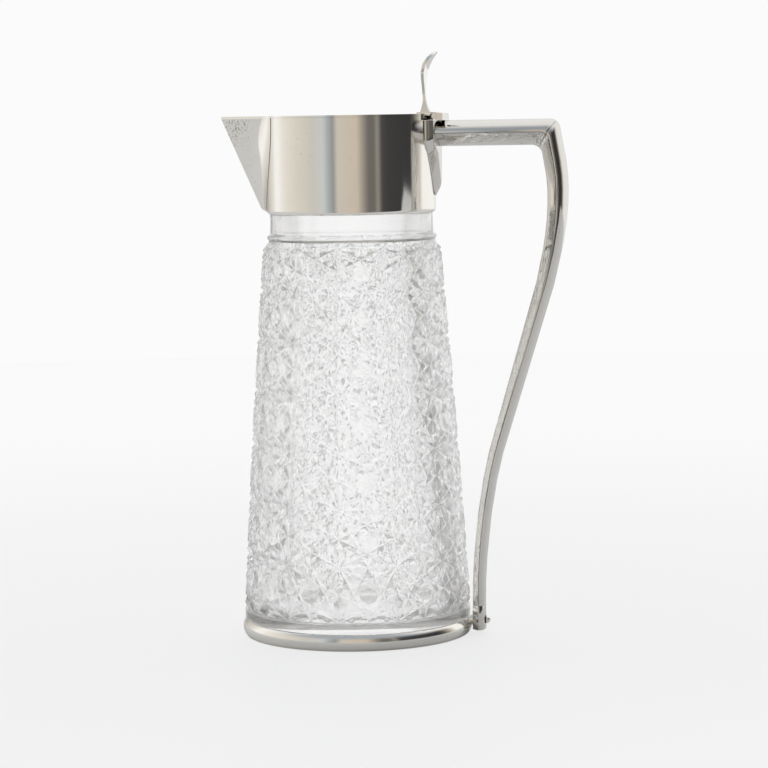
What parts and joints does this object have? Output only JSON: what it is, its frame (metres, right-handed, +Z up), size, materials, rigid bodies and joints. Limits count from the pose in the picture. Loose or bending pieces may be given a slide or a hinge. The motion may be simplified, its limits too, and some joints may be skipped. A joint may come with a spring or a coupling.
{
  "type": "claret jug",
  "caption": "Tapering cut-glass jug in silver mounts, with a flat hinged lid, a V-shaped spout, an upright thumbpiece and a hollow squared handle.",
  "frame": {"origin": "on the glass body's axis, at the table plane under the foot ring", "axes": "+Z up along the body, +X towards the handle, -X towards the spout's tip, +Y across the jug along the hinge pin"},
  "size_m": [0.1716, 0.1142, 0.2866],
  "materials": {
    "silver": "polished silver",
    "silver_cast": "polished cast silver",
    "silver_fittings": "worn silver",
    "silver_inside": "satin silver inside the lid",
    "cut_glass": "clear cut glass",
    "cement": "plaster-like cement",
    "steel": "dark washer"
  },
  "bodies": {
    "jug": {"foot_ring": "silver", "foot_ring_lug": "silver_fittings", "foot_cement": "cement", "glass_body": "cut_glass", "neck_cement": "cement", "collar": "silver", "spout": "silver", "hinge_fixed_leaf": "silver_fittings", "hinge_pin": "silver_fittings", "handle_drop": "silver", "handle_bar_top_shell": "silver", "handle_bar_under_shell": "silver", "handle_grip_outer_shell": "silver", "handle_grip_inner_shell": "silver", "handle_foot_block": "silver", "foot_screw": "silver_fittings", "foot_washer": "steel"},
    "lid": {"lid": "silver", "lid_bezel": "silver_inside", "hinge_lid_leaf": "silver_fittings", "thumbpiece": "silver_cast"}
  },
  "joints": [
    {"name": "lid_hinge", "type": "hinge", "parent": "jug", "child": "lid", "pos_m": [0.0437, 0, 0.25505], "axis": [0, 1, 0], "range_deg": [0, 90]}
  ]
}
